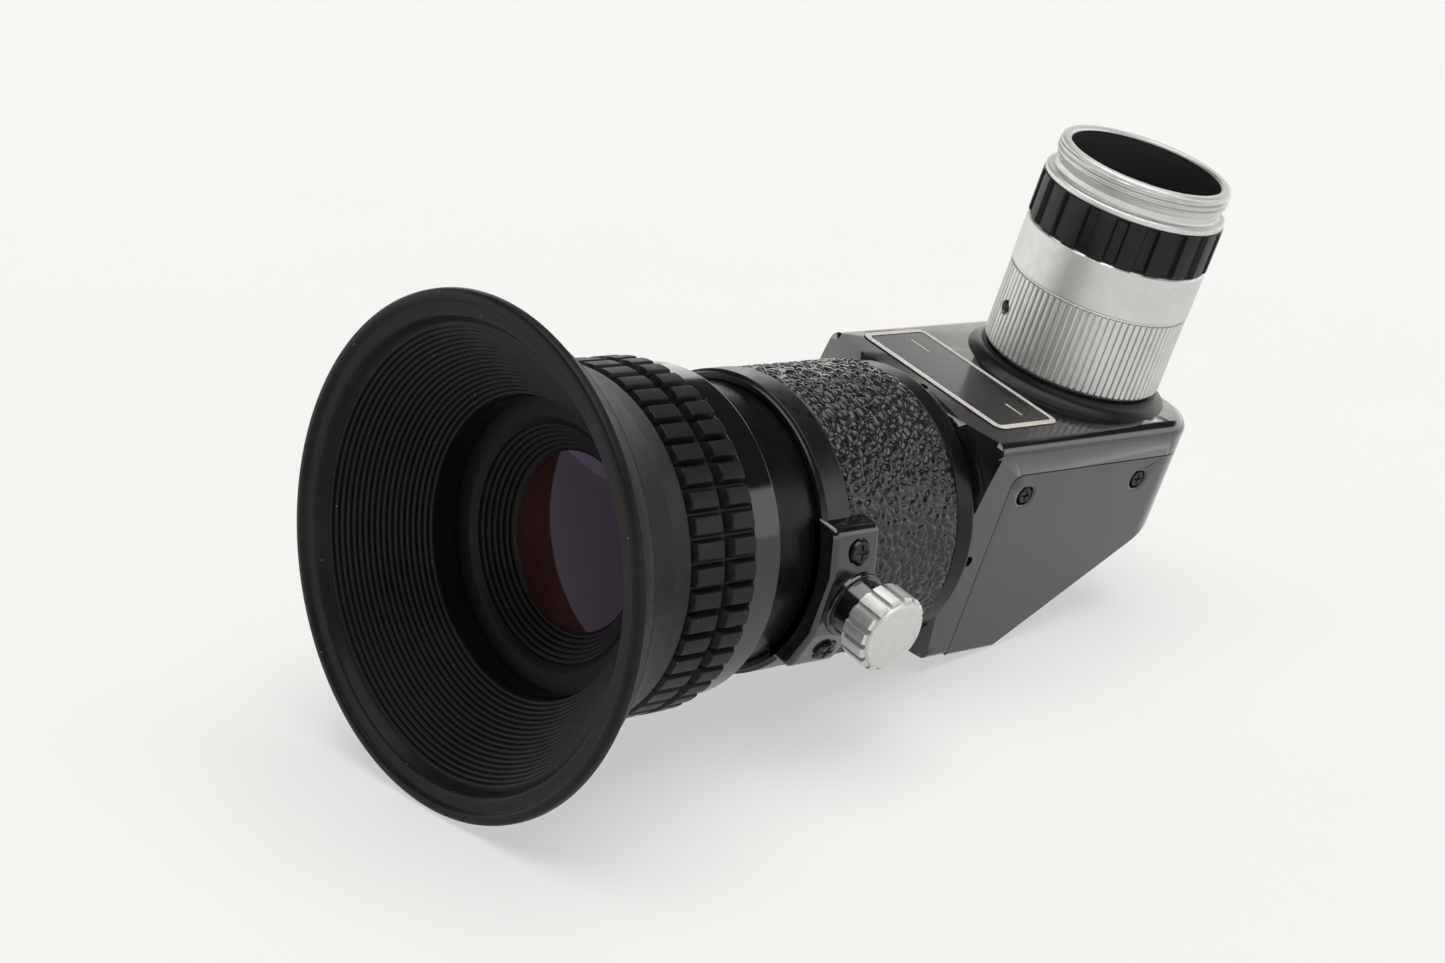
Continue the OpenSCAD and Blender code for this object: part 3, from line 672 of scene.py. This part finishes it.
def build_bracket():
    """Saddle that holds the knob's boss: an outline across the barrel, rounded at both ends."""
    y0, y1 = span("knob_bracket", "y")
    top_x = span("knob_bracket", "x")[1]
    half = (span("knob_bracket", "z")[1] - span("knob_bracket", "z")[0]) / 2
    seat_r = radius("draw_tube", "x") + 0.2
    corner = math.asin(half / seat_r) - 0.01
    outline = fillet([(seat_r * math.cos(corner), half - 0.05, 0.1), (15, half, 1.2), (top_x, 3.2, 1.5),
                      (top_x, -3.2, 1.5), (15, -half, 1.2), (seat_r * math.cos(corner), 0.05 - half, 0.1)],
                     0.5, 5)
    outline += [(seat_r * math.cos(t), seat_r * math.sin(t)) for t in np.linspace(-corner, corner, 16)[1:-1]]
    count = len(outline)
    normals = []
    for i in range(count):
        ahead, behind = Vector(outline[(i + 1) % count]), Vector(outline[i - 1])
        normals.append((ahead - behind).orthogonal().normalized())
    middle = Vector((14.5, 0))
    if normals[3].dot(Vector(outline[3]) - middle) > 0:
        normals = [-n for n in normals]
    edge, steps = 0.6, 5
    turns = [math.pi / 2 * k / steps for k in range(steps, -1, -1)]
    layers = [(y0 + edge * (1 - math.sin(t)), edge * (1 - math.cos(t))) for t in turns]
    layers += [(y1 + y0 - y, inset) for y, inset in reversed(layers)]
    points = []
    for y, inset in layers:
        for point, normal in zip(outline, normals):
            x, z = Vector(point) + normal * inset
            points.append((x, y, AXIS_Z + z))
    faces = [tuple(range(count)), tuple((len(layers) - 1) * count + i for i in range(count))[::-1]]
    for layer in range(len(layers) - 1):
        for i in range(count):
            j = (i + 1) % count
            a = layer * count
            faces.append((a + i, a + j, a + count + j, a + count + i))
    mesh = mesh_from("knob_bracket_finished", points, faces)
    drills = []
    for side in (-1, 1):
        turn = math.radians(18)
        out = Vector((math.cos(turn), 0, side * math.sin(turn)))
        seat = Vector((15.75, sum(span("bracket_screws", "y")) / 2, AXIS_Z + side * 5.5))
        drills.append((seat - out * 0.28, seat + out * 2, 1.42))
    finish_mesh("knob_bracket_finished", mesh, "housing", ENAMEL, replaces=["knob_bracket"],
                slot="black_enamel", sharp=40, drills=drills)


def build_bush():
    """Black boss that carries the knob's shaft: turned about X, on a low plinth."""
    x0, x1 = span("shaft_bush", "x")
    foot = span("knob_bracket", "x")[1]

    lathe("shaft_bush_turned", fillet([
        (x0, 1.05, 0), (x1, 1.05, 0), (x1, 3.0, 0.12), (foot + 0.45, 3.08, 0.02), (foot + 0.42, 3.45, 0.1),
        (foot + 0.1, 3.55, 0.1), (foot - 0.25, 3.6, 0), (foot - 0.25, 2.2, 0), (x0, 2.2, 0)], 0.05, 3),
        about_x, "housing", ENAMEL, sides=96, replaces=["shaft_bush"], slot="black_enamel")


def build_label():
    """Plain plate with a cream border and a dividing line; the lettering is left out."""
    (x0, y0), (x1, y1) = [(c.x / MM, c.y / MM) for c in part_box("label_plate")]
    z0, z1 = span("label_plate", "z")
    made = bmesh.new()

    def ring(inset, z, corner=1.25, steps=8):
        loop = []
        for cx, cy, turn in ((x1, y1, 0), (x0, y1, 90), (x0, y0, 180), (x1, y0, 270)):
            r = max(corner - inset, 0.25)
            mx = cx - math.copysign(inset + r, cx - (x0 + x1) / 2)
            my = cy - math.copysign(inset + r, cy - (y0 + y1) / 2)
            for k in range(steps + 1):
                a = math.radians(turn + 90 * k / steps)
                loop.append(made.verts.new((
                    (mx + r * math.cos(a)) * MM, (my + r * math.sin(a)) * MM, z * MM)))
        return loop

    def bridge(first, second, material):
        for i in range(len(first)):
            j = (i + 1) % len(first)
            made.faces.new((first[i], first[j], second[j], second[i])).material_index = material

    rings = [(0, z0, 0), (0, z0 + 0.08, 0), (0.06, z0 + 0.11, 0), (0.16, z0 + 0.11, 1), (0.2, z1, 1),
             (0.74, z1, 1), (0.78, z0 + 0.1, 0)]
    loops = [ring(inset, z) for inset, z, _ in rings]
    for (first, second), (_, _, material) in zip(zip(loops, loops[1:]), rings[1:]):
        bridge(first, second, material)
    made.faces.new(loops[-1])
    made.faces.new(list(reversed(loops[0])))
    # two short dividing lines along the plate, either side of its middle
    line_y, half = y0 + 0.6 * (y1 - y0), 0.11
    for low, high in ((x0 + 2.2, x0 + 5.0), (x1 - 4.6, x1 - 2.2)):
        bar = bmesh.ops.create_cube(made, size=1.0)["verts"]
        for v in bar:
            v.co = ((low if v.co.x < 0 else high) * MM, (line_y + math.copysign(half, v.co.y)) * MM,
                    (z1 - 0.01 if v.co.z > 0 else z0 + 0.05) * MM)
        for face in {f for v in bar for f in v.link_faces}:
            face.material_index = 1
    bmesh.ops.recalc_face_normals(made, faces=made.faces)
    mesh = bpy.data.meshes.new("label_plate_bordered")
    made.to_mesh(mesh)
    made.free()
    finish_mesh("label_plate_bordered", mesh, "housing", [LABEL_GROUND, LABEL_LINE],
                replaces=["label_plate"], slot="label")


# ---- coupling ----
def build_coupling():
    foot, top = span("swivel_tube", "z")
    low, high = span("knurled_collar", "z")
    band_r = radius("swivel_tube", "x")
    band_top = span("ribbed_ring", "z")[0] - 0.2
    lathe("swivel_tube_turned", fillet([
        (foot, 6.8, 0), (foot, 8.4, 0), (low, 8.4, 0), (low, 9.0, 0), (high, 9.0, 0),
        (high, band_r - 0.12, 0), (high + 0.1, band_r, 0.06), (band_top - 0.2, band_r, 0.08),
        (band_top, band_r - 0.2, 0.05),
        (band_top, 7.8, 0), (top, 7.8, 0), (top, 7.05, 0), (foot + 15.8, 7.05, 0), (foot + 15.8, 6.8, 0)],
        0.04, 3), about_z, "coupling", SILVER,
        replaces=["swivel_tube"], slot="satin_silver")
    knurl_r = radius("knurled_collar", "x")
    grooves, per_groove = 82, 10
    holes = []
    middle = (low + high) / 2 + 0.1
    for turn in (-115, 65):
        out = Vector((math.cos(math.radians(turn)), math.sin(math.radians(turn)), 0))
        holes.append((out * 8.6 + Vector((0, 0, middle)), out * 12 + Vector((0, 0, middle)), 0.85))

    def knurl(z, r, angle):
        if r < knurl_r - 0.5 or not low + 0.4 < z < high - 0.25:
            return r
        turn = (angle * grooves / (2 * math.pi)) % 1.0
        return r - 0.26 if turn < 0.28 else r - 0.05 * abs(turn - 0.64) / 0.36

    lathe("knurled_collar_cut", fillet([
        (low, 9.0, 0), (low, knurl_r - 0.45, 0.05), (low + 0.3, knurl_r - 0.2, 0.1)], 0.1, 2)
        + [(low + 0.45, knurl_r), (low + 0.6, knurl_r), (high - 0.32, knurl_r), (high - 0.28, knurl_r)]
        + fillet([(high - 0.24, knurl_r - 0.22, 0), (high - 0.04, knurl_r - 0.24, 0.03),
                  (high, 9.0, 0)], 0.03, 2),
        about_z, "coupling", SILVER, sides=grooves * per_groove, shape=knurl,
        replaces=["knurled_collar"], slot="satin_silver", sharp=28, drills=holes)
    for node, look in (("swivel_circlip", STEEL), ("collar_screws", DARK_STEEL), ("sleeve_retainer", STEEL),
                       ("lens_ring", DEAD_BLACK), ("objective_lens", LENS)):
        dress(node, look)


def build_thread_ring():
    low, high = span("ribbed_ring", "z")
    outer = radius("ribbed_ring", "x")
    ribs, per_rib, deep = 19, 30, 0.45
    turned = math.radians(-8.8)

    def rib(z, r, angle):
        if r < outer - 0.4 or z > high - 0.2:
            return r
        across = abs(((angle - turned) * ribs / (2 * math.pi) + 0.5) % 1.0 - 0.5)
        slope = min(1.0, max(0.0, (across - 0.29) / 0.02))
        return r - deep * slope

    lathe("ribbed_ring_moulded", [(low, 9.4), (low, outer - 0.1), (low + 0.1, outer), (high - 0.45, outer),
                                  (high - 0.3, outer - 0.02), (high - 0.05, outer - 0.06),
                                  (high, outer - 0.16), (high, 9.4)],
          about_z, "thread_ring", SATIN_Z, sides=ribs * per_rib, shape=rib,
          replaces=["ribbed_ring"], slot="satin_black", sharp=25)

    bottom, top = span("threaded_sleeve", "z")
    crest, root, pitch = 9.5, 9.2, 0.6
    seat = 0.0
    undercut = seat + 1.35
    inner_r, flange_r = 8.3, radius("threaded_sleeve", "x")
    rows = 64

    def thread(z, r, angle):
        if r != crest or not undercut < z < top - 0.46:
            return r
        phase = ((z - undercut) / pitch - angle / (2 * math.pi)) % 1.0
        tooth = min(1.0, max(0.0, (abs(phase - 0.5) - 0.1) / 0.25))
        fade = min(1.0, (z - undercut) / 0.25)
        return crest - (crest - root) * (1 - (1 - tooth) * fade)

    last = top - 0.5
    thread_rows = [(undercut + 0.02 + (last - undercut) * k / rows, crest) for k in range(rows + 1)]
    outline = fillet([(bottom, 7.85, 0), (bottom, 9.4, 0), (high, 9.4, 0), (high, flange_r - 0.12, 0.05),
                      (high + 0.14, flange_r, 0.06), (seat - 0.12, flange_r, 0.08),
                      (seat, flange_r - 0.2, 0.05),
                      (seat + 0.02, 9.02, 0.3), (undercut - 0.25, 8.98, 0.1)], 0.05, 3)
    outline += thread_rows
    outline += fillet([(top - 0.36, 9.46, 0.05), (top - 0.12, 9.4, 0.1), (top, 9.1, 0.08),
                       (top, 8.5, 0.08), (top - 0.3, inner_r, 0.05)], 0.05, 3)
    edge = len(outline)
    outline += [(32.7 + AXIS_Z, inner_r), (32.7 + AXIS_Z, 7.85)]
    lathe("threaded_sleeve_cut", outline, about_z, "thread_ring", [SILVER, BORE_BLACK], sides=192,
          shape=thread, paint=lambda i: 1 if i >= edge - 1 else 0,
          replaces=["threaded_sleeve"], slot="satin_silver", sharp=40)


# ---- focusing knob ----
def knob_section(outer, flutes, half_groove, depth, steps=6):
    """Closed outline across the knob, with square grooves between wide ribs."""
    points = []
    for i in range(flutes):
        middle = 2 * math.pi * i / flutes
        groove = half_groove / outer
        rib = 2 * math.pi / flutes - 2 * groove
        points += [(outer - depth, middle - groove * 0.85), (outer - depth, middle + groove * 0.85)]
        for k in range(steps + 1):
            points.append((outer, middle + groove + rib * k / steps))
    return points


def build_knob():
    x0, x1 = span("focus_knob", "x")
    outer = radius("focus_knob", "y")
    section = knob_section(outer, 15, 0.3, 0.42)
    count = len(section)
    # stations from the inner face to the rib ends: how far along, and how far drawn in
    layers = [(x0, 3.2, True), (x0, outer - 0.2, True), (x0 + 0.18, 0.0, False), (x1 - 0.6, 0.0, False),
              (x1 - 0.4, outer - 0.2, True)]
    points, faces = [], []
    for x, trim, absolute in layers:
        for r, angle in section:
            size = min(r, trim) if absolute else r
            points.append((x, KNOB_Y + size * math.cos(angle), AXIS_Z + size * math.sin(angle)))
    for layer in range(len(layers) - 1):
        a, b = layer * count, (layer + 1) * count
        for i in range(count):
            j = (i + 1) % count
            faces.append((a + i, a + j, b + j, b + i))
    faces.append(tuple(range(count))[::-1])
    faces.append(tuple((len(layers) - 1) * count + i for i in range(count)))
    mesh = mesh_from("focus_knob_fluted", points, faces)
    finish_mesh("focus_knob_fluted", mesh, "knob", SILVER_X, replaces=["focus_knob"],
                slot="satin_silver", sharp=30)

    lathe("focus_knob_cap", fillet([
        (x1 - 0.9, 0.02, 0), (x1 - 0.9, outer - 0.5, 0), (x1 - 0.35, outer - 0.48, 0.1),
        (x1 - 0.08, outer - 0.6, 0.12), (x1, outer - 0.78, 0.12), (x1 - 0.03, 0.02, 0)], 0.05, 3),
        about_x, "knob", SILVER_X, sides=128, slot="satin_silver")
    for node, look in (("knob_grub_screw", DARK_STEEL), ("focus_shaft", STEEL), ("focus_pinion", BRASS),
                       ("friction_washer", STEEL)):
        dress(node, look)


def dress(node, look):
    """Gives a CAD node that stays as it is its material."""
    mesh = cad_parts[node].data
    mesh.materials.clear()
    mesh.materials.append(look)
    mesh.polygons.foreach_set("material_index", [0] * len(mesh.polygons))


# ---- stage ----
def resting_plane():
    """Plane through the three lowest contacts of the object as it lies: point and upward normal."""
    lean = Vector((-0.22, -0.19, 0.955)).normalized()
    shape = bmesh.new()
    for node in ("eyecup", "focus_knob", "prism_cover", "prism_housing", "knob_bracket", "barrel_tube"):
        shape.from_mesh(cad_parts[node].data)
    loose = bmesh.new()
    for vert in shape.verts:
        loose.verts.new(vert.co)
    shape.free()
    bmesh.ops.remove_doubles(loose, verts=loose.verts, dist=0.02 * MM)
    bmesh.ops.convex_hull(loose, input=loose.verts)
    loose.normal_update()
    best = max((f for f in loose.faces), key=lambda f: -f.normal.dot(lean))
    point, normal = best.calc_center_median().copy(), -best.normal.copy()
    loose.free()
    return point, normal


def build_floor():
    """Pale floor under the object's lowest contacts, a little luminous so that shadows stay light."""
    point, normal = resting_plane()
    reach = 3.0
    mesh = bpy.data.meshes.new("floor")
    mesh.from_pydata([(-reach, -reach, 0), (reach, -reach, 0), (reach, reach, 0), (-reach, reach, 0)],
                     [], [(0, 1, 2, 3)])
    floor = bpy.data.objects.new("floor", mesh)
    bpy.context.scene.collection.objects.link(floor)
    floor.matrix_world = Matrix.Translation(point) @ normal.to_track_quat("Z", "Y").to_matrix().to_4x4()
    look = Look("pale_floor", Roughness=0.7, Specular_IOR_Level=0.1, Emission_Strength=0.49)
    look.shader.inputs["Emission Color"].default_value = (1.0, 0.997, 0.992, 1.0)
    look.colour(look.mix(look.noise(60, 3), (0.362, 0.362, 0.359), (0.382, 0.382, 0.379)))
    mesh.materials.append(look.material)
    return normal


class Sky:
    """World light painted by direction: a white sweep low down and softboxes above."""

    def __init__(self, up):
        world = bpy.data.worlds.new("studio")
        world.use_nodes = True
        bpy.context.scene.world = world
        self.tree = world.node_tree
        self.up = up
        self.direction = self.tree.nodes.new("ShaderNodeTexCoord").outputs["Generated"]
        self.total = None

    def math(self, operation, first, second=None):
        made = self.tree.nodes.new("ShaderNodeMath")
        made.operation = operation
        for port, value in zip(made.inputs, (first, second)):
            if isinstance(value, (int, float)):
                port.default_value = value
            elif value is not None:
                self.tree.links.new(value, port)
        return made.outputs[0]

    def along(self, axis):
        made = self.tree.nodes.new("ShaderNodeVectorMath")
        made.operation = "DOT_PRODUCT"
        self.tree.links.new(self.direction, made.inputs[0])
        made.inputs[1].default_value = axis
        return made.outputs["Value"]

    def step(self, value, start, end, low, high):
        made = self.tree.nodes.new("ShaderNodeMapRange")
        made.interpolation_type = "SMOOTHSTEP"
        self.tree.links.new(value, made.inputs["Value"])
        for socket, number in (("From Min", start), ("From Max", end), ("To Min", low), ("To Max", high)):
            made.inputs[socket].default_value = number
        return made.outputs["Result"]

    def add(self, light):
        self.total = self.math("ADD", self.total, light) if self.total else light

    def sweep(self, white, dark, start, end):
        """White up to start degrees of elevation, dark above end degrees."""
        low, high = math.sin(math.radians(start)), math.sin(math.radians(end))
        self.add(self.step(self.along(self.up), low, high, white, dark))

    def softbox(self, centre, width, depth, level, edge=4, toward=(0, 1, 0)):
        """Soft-edged rectangle of light, its half sizes in degrees, seen in the direction centre."""
        centre = centre.normalized()
        side = centre.cross(Vector(toward)).normalized()
        along = side.cross(centre)
        ahead = self.along(centre)
        inside = self.step(ahead, 0.0, 0.05, 0.0, 1.0)
        for axis, half in ((side, width), (along, depth)):
            aside = self.math("ABSOLUTE", self.along(axis))
            across = self.math("DIVIDE", aside, self.math("MAXIMUM", ahead, 0.01))
            near, far = (math.tan(math.radians(half + turn)) for turn in (-edge, edge))
            inside = self.math("MULTIPLY", inside, self.step(across, near, far, 1.0, 0.0))
        self.add(self.math("MULTIPLY", inside, level))

    def finish(self, tint):
        background = self.tree.nodes["Background"]
        background.inputs["Color"].default_value = (*tint, 1)
        self.tree.links.new(self.total, background.inputs["Strength"])


def build_light(up):
    sky = Sky(up)
    overhead = up + Vector((0.1, 0.1, 0))
    sky.sweep(white=1.7, dark=0.035, start=19.5, end=22)
    sky.softbox(overhead, width=30, depth=28, level=3.2)
    sky.finish(tint=(1.0, 0.993, 0.958))


def build_camera():
    """Camera at the photograph's angle: turned round the object, raised and rolled."""
    turned, raised, rolled, distance = math.radians(40.29), math.radians(24.24), math.radians(18.57), 270.0
    aim = Vector((-4.0, -44.3, AXIS_Z + 1.9))
    flat = math.cos(raised)
    back = Vector((math.sin(turned) * flat, -math.cos(turned) * flat, math.sin(raised)))
    level = Vector((math.cos(turned), math.sin(turned), 0))
    upright = back.cross(level)
    right = level * math.cos(rolled) + upright * math.sin(rolled)
    up = back.cross(right)
    camera = bpy.data.cameras.new("camera")
    camera.lens = 67.0
    camera.sensor_width = 36.0
    camera.clip_start = 0.01
    camera.clip_end = 20.0
    holder = bpy.data.objects.new("camera", camera)
    bpy.context.scene.collection.objects.link(holder)
    turn = Matrix((right, up, back)).transposed()
    holder.matrix_world = Matrix.Translation((aim + back * distance) * MM) @ turn.to_4x4()
    bpy.context.scene.camera = holder


build_camera()
build_housing()
build_bracket()
build_bush()
build_label()
build_barrel()
build_leather()
build_eyepiece()
build_eyecup()
build_coupling()
build_thread_ring()
build_knob()
build_light(build_floor())
bpy.context.scene.view_settings.view_transform = "Standard"
